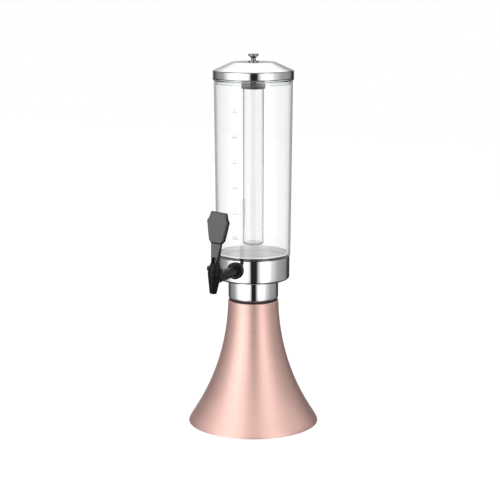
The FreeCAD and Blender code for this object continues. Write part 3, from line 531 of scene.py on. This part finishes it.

# Lid: a pressed chrome cap with an upright band, a cone and a flat top. Its
# joint faces above and below the band get black rubber, as painted shade in the
# joints. The knob is turned from bar, with a foot, a waist and a flared head,
# and its plate is smoky.
joint_low, joint_high, joint_wall, cone_foot = 596.1, 607.4, 67.25, 608.5
lid_outline = [
    (67.2, 595.0), (68.1, 595.0), (68.1, joint_low), (68.3, joint_low, 0.1),
    (68.3, joint_high, 0.3), (67.3, joint_high), (67.3, cone_foot), (36.4, 622.2, 4.0),
    (2.8, 622.2), (2.8, 621.1), (36.4, 621.1), (67.2, 608.3),
]
lid = shape("lid_pressed", *turned(lid_outline, 200))
piece("lid_pressed", lid, chrome, "lid", "chrome_plate", "lid")
# The joint faces take the black rubber: painted shade in the joints.
lid.materials.append(nitrile)
for face in lid.polygons:
    wall, height = math.hypot(*face.center[:2]) * 1000, face.center.z * 1000
    if height < joint_low or (joint_high < height < cone_foot and wall > joint_wall):
        face.material_index = 1
knob_outline = [
    (2.5, 622.2), (8.7, 622.2), (8.7, 624.2, 0.8), (4.1, 624.2, 1.0), (4.1, 628.4, 2.0),
    (8.8, 633.0, 0.5), (8.8, 635.6, 0.8), (0.0, 635.6), (0.0, 630.2), (2.5, 630.2),
]
smoky_chrome, tree, shader, place = new_surface(
    "turned_smoky_chrome_plate", "#8b8c8f", Metallic=1.0, Roughness=0.16
)
flattened = add_node(
    tree, "ShaderNodeVectorMath", "Vector", {0: place, 1: (0.05, 0.05, 1.0)}, operation="MULTIPLY"
)
rings = add_node(
    tree, "ShaderNodeTexNoise", "Fac",
    {"Vector": flattened, "Scale": per_metre(0.5), "Detail": 2.0},
)
shades = add_node(
    tree, "ShaderNodeMix", 2,
    {0: rings, 6: linear("#7f8083"), 7: linear("#98999c")}, data_type="RGBA",
)
sheen = add_node(
    tree, "ShaderNodeMapRange", "Result", {"Value": rings, "To Min": 0.1, "To Max": 0.22}
)
wire(tree, shader, Base_Color=shades, Roughness=sheen)
knob = shape("knob_turned", *turned(knob_outline, 72))
piece("knob_turned", knob, smoky_chrome, "lid", "chrome_plate", "knob")

# Lid liner: a clear plug ring, glued in the lid so that it sits tight in the
# tube's mouth. It is moulded in a softer clear plastic with a cool tint.
clear_plastic, tree, shader, place = new_surface(
    "clear_moulded_copolymer", "#fbfdfe", Roughness=0.02, IOR=1.5, Transmission_Weight=1.0
)
ripples = add_node(
    tree, "ShaderNodeTexNoise", "Fac", {"Vector": place, "Scale": per_metre(25.0), "Detail": 1.0}
)
sheen = add_node(
    tree, "ShaderNodeMapRange", "Result", {"Value": ripples, "To Min": 0.01, "To Max": 0.06}
)
wire(tree, shader, Roughness=sheen)
liner_outline = [
    (61.2, 586.0, 0.5), (63.2, 586.0, 0.5), (63.2, 606.0), (66.2, 606.0), (66.2, 609.0),
    (61.2, 611.0),
]
piece(
    "lid_liner_moulded",
    shape("lid_liner_moulded", *turned(liner_outline)),
    clear_plastic,
    "lid",
    "clear_liner",
    "lid_liner",
)

# Ice tube: a closed clear tube for ice, moulded like the tube. It screws into a
# turned cap, plated in black nickel, that hangs from the lid on a chrome post.
ice_outline = [
    (0.0, 313.7), (17.75, 313.7, 3.0), (17.75, 597.9, 0.3), (15.55, 597.9, 0.3),
    (15.55, 315.9, 1.5), (0.0, 315.9),
]
piece(
    "ice_tube_moulded",
    shape("ice_tube_moulded", *turned(ice_outline, 120)),
    clear_polycarbonate,
    "ice_tube",
    "clear_tube",
    "ice_tube",
)
black_nickel, tree, shader, place = new_surface(
    "black_nickel_plate", "#47474b", Metallic=1.0, Roughness=0.12
)
haze = add_node(
    tree, "ShaderNodeTexNoise", "Fac", {"Vector": place, "Scale": per_metre(5.0), "Detail": 3.0}
)
shades = add_node(
    tree, "ShaderNodeMix", 2,
    {0: haze, 6: linear("#404044"), 7: linear("#4e4e52")}, data_type="RGBA",
)
sheen = add_node(
    tree, "ShaderNodeMapRange", "Result", {"Value": haze, "To Min": 0.08, "To Max": 0.18}
)
wire(tree, shader, Base_Color=shades, Roughness=sheen)
cap_outline = [
    (18.05, 577.9, 0.2), (20.3, 577.9, 1.0), (20.3, 602.9, 1.0), (2.8, 602.9), (2.8, 600.9),
    (18.05, 600.9, 0.5),
]
piece(
    "ice_cap_turned",
    shape("ice_cap_turned", *turned(cap_outline)),
    black_nickel,
    "lid",
    "black_nickel",
    "ice_cap",
)
post_outline = [(2.8, 602.9), (6.0, 602.9, 0.4), (6.0, 620.3, 0.4), (2.8, 620.3)]
piece(
    "ice_post",
    shape("ice_post", *turned(post_outline, 64)),
    chrome,
    "lid",
    "chrome_plate",
    "ice_spacer",
)

# Tap body: one black ABS moulding, with a barrel that narrows to the spout
# and an arm whose flange and shank go through the cup's wall. The mould is
# half polished, so edges catch a soft light.
tap_roll, tap_reach, tap_height = 4.8, 136.0, 277.8
tap_stand = Matrix.Translation((0, -tap_reach / 1000, tap_height / 1000))
tap_stand = tap_stand @ Matrix.Rotation(math.radians(tap_roll), 4, "Y")
black_tap_abs, tree, shader, place = new_surface(
    "black_half_gloss_abs", "#0c0c0d", Roughness=0.35, IOR=1.53, Specular_IOR_Level=0.22
)
mottle = add_node(
    tree, "ShaderNodeTexNoise", "Fac", {"Vector": place, "Scale": per_metre(0.7), "Detail": 3.0}
)
shades = add_node(
    tree, "ShaderNodeMix", 2,
    {0: mottle, 6: linear("#0a0a0b"), 7: linear("#101012")}, data_type="RGBA",
)
sheen = add_node(
    tree, "ShaderNodeMapRange", "Result", {"Value": mottle, "To Min": 0.28, "To Max": 0.42}
)
skin = add_node(tree, "ShaderNodeBump", "Normal", {"Height": mottle, "Distance": 0.00002})
wire(tree, shader, Base_Color=shades, Roughness=sheen, Normal=skin)
barrel_outline = [
    (4.0, -24.6, 0.3), (5.9, -24.6, 0.6), (11.2, 8.0, 3.0), (11.2, 12.0, 0.4), (9.2, 12.0),
    (9.2, 16.0), (7.0, 16.0), (7.0, -5.0), (4.0, -5.0),
]
barrel = shape("tap_barrel", *turned(barrel_outline, 72))
piece("tap_barrel", barrel, black_tap_abs, "tower", "black_tap", "tap_body", stand=tap_stand)
arm_outline = [
    (4.2, 6.0), (9.4, 6.0), (8.6, 67.7, 1.5), (14.5, 67.7, 1.5), (14.5, 72.7, 0.4),
    (8.0, 72.7), (8.0, 88.2, 0.5), (4.2, 88.2),
]
along_shank = Matrix.Rotation(math.radians(-90), 4, "X")
arm = shape("tap_arm", *turned(arm_outline, 72))
arm.transform(along_shank)
piece("tap_arm", arm, black_tap_abs, "tower", "black_tap", "tap_body", stand=tap_stand)
cover(black_tap_abs, "tap_lock_nut")

# Bonnet: a black cap screwed on the barrel, which houses the spring. Two
# lugs at its sides give the fingers a grip.


def block(outline, low, high):
    """Raise a closed outline into a solid between two heights."""
    count = len(outline)
    corners = [(x / 1000, y / 1000, z / 1000) for z in (low, high) for x, y in outline]
    faces = [list(range(count)), list(range(count, 2 * count))]
    for index in range(count):
        following = (index + 1) % count
        faces.append([index, following, following + count, index + count])
    return corners, faces


def soften(made, radius, steps=3):
    """Round a piece's sharp edges by a radius in millimetres."""
    bevel = made.modifiers.new("edges", "BEVEL")
    bevel.width = radius / 1000
    bevel.segments = steps
    bevel.limit_method = "ANGLE"
    bevel.angle_limit = math.radians(25)
    bevel.harden_normals = True


bonnet_outline = [
    (9.5, 12.0), (11.2, 12.0, 0.5), (11.2, 19.5, 0.5), (9.6, 20.5, 0.6), (7.0, 27.0, 0.6),
    (2.65, 27.0), (2.65, 25.7), (6.2, 25.7), (6.2, 17.0), (9.5, 17.0),
]
bonnet = shape("bonnet_cap", *turned(bonnet_outline, 72))
piece("bonnet_cap", bonnet, black_tap_abs, "tower", "black_tap", "bonnet", stand=tap_stand)
lug_root, lug_reach, lug_width, lug_low, lug_high = 10.0, 13.8, 5.2, 12.0, 19.5
for side, name in ((-1, "left"), (1, "right")):
    ends = ((lug_root, -1), (lug_reach, -1), (lug_reach, 1), (lug_root, 1))
    outline = [(side * x, y * lug_width / 2) for x, y in ends]
    lug = shape(f"bonnet_lug_{name}", *block(outline, lug_low, lug_high))
    lug_piece = piece(
        f"bonnet_lug_{name}", lug, black_tap_abs, "tower", "black_tap", "bonnet", stand=tap_stand
    )
    soften(lug_piece, 0.9)

# Lever: moulded in the same black ABS, with a slotted foot on the pin, a blade
# that widens upward and a broad bevelled paddle whose top leans back a little.
# Its faces that look to the front get a paler grey: a painted sheen.
painted_sheen_lever_abs, tree, shader, place = new_surface(
    "grey_abs_painted_front_sheen", "#343537", Roughness=0.34, IOR=1.53, Specular_IOR_Level=0.85
)
front_sheen_grain = add_node(
    tree, "ShaderNodeTexNoise", "Fac", {"Vector": place, "Scale": per_metre(0.8), "Detail": 3.0}
)
shades = add_node(
    tree, "ShaderNodeMix", 2,
    {0: front_sheen_grain, 6: linear("#2a2b2d"), 7: linear("#3e3f42")}, data_type="RGBA",
)
sheen = add_node(
    tree, "ShaderNodeMapRange", "Result", {"Value": front_sheen_grain, "To Min": 0.28, "To Max": 0.4}
)
skin = add_node(tree, "ShaderNodeBump", "Normal", {"Height": front_sheen_grain, "Distance": 0.00003})
wire(tree, shader, Base_Color=shades, Roughness=sheen, Normal=skin)
foot_low, foot_high, slot_high, blade_high = 27.3, 30.5, 36.5, 59.5
slot_half, slot_back = 3.1, 4.6
foot_half, blade_half = Vector((4.9, 6.6)), Vector((9.5, 2.5))


def lever_level(height):
    """Give the lever's half width and half depth at a height below the paddle."""
    return foot_half.lerp(blade_half, max(0.0, (height - foot_high) / (blade_high - foot_high)))


corners = []
for height in (foot_low, foot_high, slot_high):
    half_width, half_depth = lever_level(height)
    for x, y in (
        (-half_width, -half_depth), (-slot_half, -half_depth), (-slot_half, slot_back),
        (slot_half, slot_back), (slot_half, -half_depth), (half_width, -half_depth),
        (half_width, half_depth), (-half_width, half_depth),
    ):
        corners.append((x, y, height))
for x, y in ((-1, -1), (1, -1), (1, 1), (-1, 1)):
    corners.append((x * blade_half.x, y * blade_half.y, blade_high))
# The corners come in rings of eight, at the foot's underside, its shoulder and the
# slot's roof. The last four are the blade's top.
ring = 8
faces = [list(range(ring)), [17, 18, 19, 20], [24, 25, 26, 27]]
for level in (0, ring):
    for index in range(ring):
        following = (index + 1) % ring
        low, high = level + index, level + following
        faces.append([low, high, high + ring, low + ring])
faces += [[16, 17, 20, 21, 25, 24], [21, 22, 26, 25], [22, 23, 27, 26], [23, 16, 24, 27]]
corners = [Vector(corner) / 1000 for corner in corners]


def paint_front_sheen(mesh, forward=-0.5, downward=-0.3):
    """Give a lever mesh a paler grey, a painted sheen, where it faces the front, not down."""
    mesh.materials.append(painted_sheen_lever_abs)
    for face in mesh.polygons:
        face.material_index = int(face.normal.y < forward and face.normal.z > downward)


blade_mesh = shape("lever_blade", corners, faces, crease=6)
blade = piece(
    "lever_blade", blade_mesh, black_tap_abs, "lever", "black_lever", "lever", stand=tap_stand
)
# The blade's faces that look to the front get the painted sheen.
paint_front_sheen(blade_mesh)
soften(blade, 0.7)


def inset(outline, distance):
    """Draw a closed outline again, a distance inside itself."""
    points = []
    for index, corner in enumerate(outline):
        here = Vector(corner)
        before = (here - Vector(outline[index - 1])).normalized()
        after = (Vector(outline[(index + 1) % len(outline)]) - here).normalized()
        inward = Vector((-before.y - after.y, before.x + after.x))
        points.append(here + inward * (distance / (1 + before.dot(after))))
    return points


paddle_wide = 96.1
right_edge = [(9.6, 59.5), (13.7, 64.5), (19.4, paddle_wide), (16.4, 100.9), (14.0, 110.8)]
paddle_outline = right_edge + [(-half, height) for half, height in reversed(right_edge)]
paddle_bevel, paddle_back, paddle_front, top_lean = 2.0, 4.5, -4.5, math.radians(7)
corners = []
for outline, depth in (
    (paddle_outline, paddle_back),
    (paddle_outline, paddle_front + paddle_bevel),
    (inset(paddle_outline, paddle_bevel), paddle_front),
):
    for across, height in outline:
        lean = 0.0 if depth > 0 else max(0.0, height - paddle_wide) * math.tan(top_lean)
        corners.append(Vector((across, depth + lean, height)) / 1000)
count = len(paddle_outline)
front = 2 * count
faces = [list(range(count)), [front + index for index in (0, 1, 2, 7, 8, 9)]]
faces.append([front + index for index in (2, 3, 4, 5, 6, 7)])
for level in (0, count):
    for index in range(count):
        following = (index + 1) % count
        low, high = level + index, level + following
        faces.append([low, high, high + count, low + count])
paddle_mesh = shape("lever_paddle", corners, faces, crease=2)
paddle = piece(
    "lever_paddle", paddle_mesh, black_tap_abs, "lever", "black_lever", "lever", stand=tap_stand
)
# The paddle's faces that look to the front get the painted sheen.
paint_front_sheen(paddle_mesh)
soften(paddle, 0.45)

# Studio: a pale floor and backdrop, white cards all round for the chrome to
# mirror, a dark gap in them at the camera, and two soft lamps.
scene = bpy.context.scene
camera_bearing, camera_reach, camera_height, camera_dip = 28.0, 2.357, 0.7668, 11.05
camera_aside, lens = 0.137, 101.0
bearing = math.radians(camera_bearing)
camera_data = bpy.data.cameras.new("camera")
camera_data.lens = lens
camera_data.sensor_width = 36.0
camera = bpy.data.objects.new("camera", camera_data)
scene.collection.objects.link(camera)
camera_right, camera_front = camera_reach * math.sin(bearing), camera_reach * math.cos(bearing)
camera.location = (camera_right, -camera_front, camera_height)
camera.rotation_euler = (math.radians(90 - camera_dip), 0, bearing + math.radians(camera_aside))
scene.camera = camera
scene.view_settings.view_transform = "Standard"

paper = bpy.data.materials.new("pale_floor_paper")
paper.use_nodes = True
tree = paper.node_tree
shader = tree.nodes["Principled BSDF"]
tree.nodes.remove(shader)
rays = tree.nodes.new("ShaderNodeLightPath")
matt = add_node(tree, "ShaderNodeBsdfDiffuse", "BSDF", {"Color": linear("#f4f4f4")})
shaded = add_node(tree, "ShaderNodeBsdfDiffuse", "BSDF", {"Color": linear("#a2a2a2")})
glow = add_node(
    tree, "ShaderNodeEmission", "Emission",
    {"Color": linear("#ffffff"), "Strength": 0.8},
)
lit = add_node(tree, "ShaderNodeAddShader", "Shader", {0: shaded, 1: glow})
direct = add_node(
    tree, "ShaderNodeMath", "Value",
    {0: rays.outputs["Is Camera Ray"], 1: rays.outputs["Is Transmission Ray"]},
    operation="MAXIMUM",
)
plain = add_node(tree, "ShaderNodeMixShader", "Shader", {0: direct, 1: matt, 2: lit})
# Light mirrored within the clear walls passes the floor, so that they keep the
# same edges at every height.
bounced = add_node(
    tree, "ShaderNodeMath", "Value",
    {0: rays.outputs["Glossy Depth"], 1: 0.5}, operation="GREATER_THAN",
)
passing = add_node(
    tree, "ShaderNodeMath", "Value",
    {0: rays.outputs["Is Transmission Ray"], 1: bounced}, operation="MULTIPLY",
)
open_floor = add_node(tree, "ShaderNodeBsdfTransparent", "BSDF")
final = add_node(tree, "ShaderNodeMixShader", "Shader", {0: passing, 1: plain, 2: open_floor})
tree.links.new(final, tree.nodes["Material Output"].inputs["Surface"])
half_floor = 4.0
floor_mesh = bpy.data.meshes.new("floor")
floor_corners = [
    (x * half_floor, y * half_floor, 0) for x, y in ((-1, -1), (1, -1), (1, 1), (-1, 1))
]
floor_mesh.from_pydata(floor_corners, [], [(0, 1, 2, 3)])
floor_mesh.materials.append(paper)
floor = bpy.data.objects.new("floor", floor_mesh)
scene.collection.objects.link(floor)
floor.visible_glossy = False

# The cards, as bearings in degrees from the camera's, to the right, and how
# bright each is. Between them the light falls off smoothly.
cards = [
    (-180, 0.5), (-165, 0.55), (-148, 0.02), (-120, 0.25), (-95, 0.4), (-72, 1.15), (-48, 2.2),
    (-12, 0.95), (-7, 0.02), (10, 0.02), (20, 0.95), (38, 1.9), (62, 0.8), (85, 0.4),
    (120, 0.28), (142, 0.02), (152, 0.03), (168, 0.35), (180, 0.5),
]
brightest = 2.2
world = bpy.data.worlds.new("studio")
scene.world = world
world.use_nodes = True
tree = world.node_tree
background = tree.nodes["Background"]
rays = tree.nodes.new("ShaderNodeLightPath")
heading = add_node(tree, "ShaderNodeTexCoord", "Generated")
heading = add_node(
    tree, "ShaderNodeVectorRotate", "Vector",
    {"Vector": heading, "Angle": -bearing}, rotation_type="Z_AXIS",
)
split = tree.nodes.new("ShaderNodeSeparateXYZ")
tree.links.new(heading, split.inputs[0])
ahead = add_node(
    tree, "ShaderNodeMath", "Value",
    {0: split.outputs["Y"], 1: -1.0}, operation="MULTIPLY",
)
angle = add_node(
    tree, "ShaderNodeMath", "Value",
    {0: split.outputs["X"], 1: ahead}, operation="ARCTAN2",
)
share = add_node(
    tree, "ShaderNodeMath", "Value", {0: angle, 1: 1 / math.tau, 2: 0.5}, operation="MULTIPLY_ADD"
)
ramp = tree.nodes.new("ShaderNodeValToRGB")
tree.links.new(share, ramp.inputs["Fac"])
elements = ramp.color_ramp.elements
for index, (turn, level) in enumerate(cards):
    spot = 0.5 + turn / 360
    element = elements[index] if index < 2 else elements.new(spot)
    element.position = spot
    element.color = (*[level / brightest] * 3, 1.0)

# A broad white card hangs over the object and behind it.
overhead = 1.2
rise = add_node(
    tree, "ShaderNodeMapRange", "Result",
    {"Value": split.outputs["Z"], "From Min": 0.25, "From Max": 0.62},
    interpolation_type="SMOOTHSTEP",
)
behind = add_node(
    tree, "ShaderNodeMapRange", "Result",
    {
        "Value": split.outputs["Y"],
        "From Min": -0.3, "From Max": 0.3, "To Min": 0.35, "To Max": 1.0,
    },
)
overhead_share = add_node(
    tree, "ShaderNodeMath", "Value",
    {0: rise, 1: behind}, operation="MULTIPLY",
)
# Steeply below, the cards end over a dark table top.
below = add_node(
    tree, "ShaderNodeMapRange", "Result",
    {
        "Value": split.outputs["Z"],
        "From Min": -0.62, "From Max": -0.28, "To Min": 0.15, "To Max": 1.0,
    },
)
card_ring = add_node(
    tree, "ShaderNodeMix", 2,
    {0: 1.0, 6: ramp.outputs["Color"], 7: below}, data_type="RGBA", blend_type="MULTIPLY",
)
all_cards = add_node(
    tree, "ShaderNodeMix", 2,
    {0: overhead_share, 6: card_ring, 7: (*[overhead / brightest] * 3, 1.0)}, data_type="RGBA",
)
tree.links.new(all_cards, background.inputs["Color"])
background.inputs["Strength"].default_value = brightest
# What is seen past the object, or straight through its clear walls, is white.
# Matt faces inside the tube get more light, because the walls keep some out.
extra_inside, soft_light, pale_light, pale_share = 1.6, 0.6, 0.85, 0.65
matt_inside = add_node(
    tree, "ShaderNodeMath", "Value",
    {0: rays.outputs["Diffuse Depth"], 1: 0.5}, operation="GREATER_THAN",
)
light_inside = add_node(
    tree, "ShaderNodeMath", "Value",
    {0: matt_inside, 1: extra_inside, 2: 1.0}, operation="MULTIPLY_ADD",
)
white = add_node(
    tree, "ShaderNodeBackground", "Background",
    {"Color": linear("#ffffff"), "Strength": light_inside},
)
# Matt faces outside get soft light. Metal mirrors the cards, and the clear walls
# mirror within themselves what is mostly a paler room.
soft = add_node(
    tree, "ShaderNodeBackground", "Background",
    {"Color": linear("#fbfcff"), "Strength": soft_light},
)
pale = add_node(
    tree, "ShaderNodeBackground", "Background",
    {"Color": linear("#ffffff"), "Strength": pale_light},
)
inside_glass = add_node(
    tree, "ShaderNodeMath", "Value",
    {0: rays.outputs["Is Transmission Ray"], 1: pale_share}, operation="MULTIPLY",
)
shone = add_node(
    tree, "ShaderNodeMixShader", "Shader",
    {0: inside_glass, 1: background.outputs["Background"], 2: pale},
)
mirrored = add_node(
    tree, "ShaderNodeMixShader", "Shader", {0: rays.outputs["Is Glossy Ray"], 1: soft, 2: shone}
)
unbent = add_node(
    tree, "ShaderNodeMath", "Value",
    {0: rays.outputs["Glossy Depth"], 1: 0.5}, operation="LESS_THAN",
)
through = add_node(
    tree, "ShaderNodeMath", "Value",
    {0: rays.outputs["Is Transmission Ray"], 1: unbent}, operation="MULTIPLY",
)
straight = add_node(
    tree, "ShaderNodeMath", "Value",
    {0: rays.outputs["Is Camera Ray"], 1: through}, operation="MAXIMUM",
)
final = add_node(tree, "ShaderNodeMixShader", "Shader", {0: straight, 1: mirrored, 2: white})
tree.links.new(final, tree.nodes["World Output"].inputs["Surface"])

for name, spot, size, power in (
    ("key_lamp", (-1.5, -2.0, 2.2), 1.6, 40.0),
    ("fill_lamp", (2.4, -1.2, 1.6), 1.4, 18.0),
):
    light = bpy.data.lights.new(name, "AREA")
    light.size = size
    light.energy = power
    lamp = bpy.data.objects.new(name, light)
    scene.collection.objects.link(lamp)
    lamp.location = spot
    lamp.rotation_euler = (Vector((0, 0, 0.3)) - Vector(spot)).to_track_quat("-Z", "Y").to_euler()
    lamp.visible_glossy = False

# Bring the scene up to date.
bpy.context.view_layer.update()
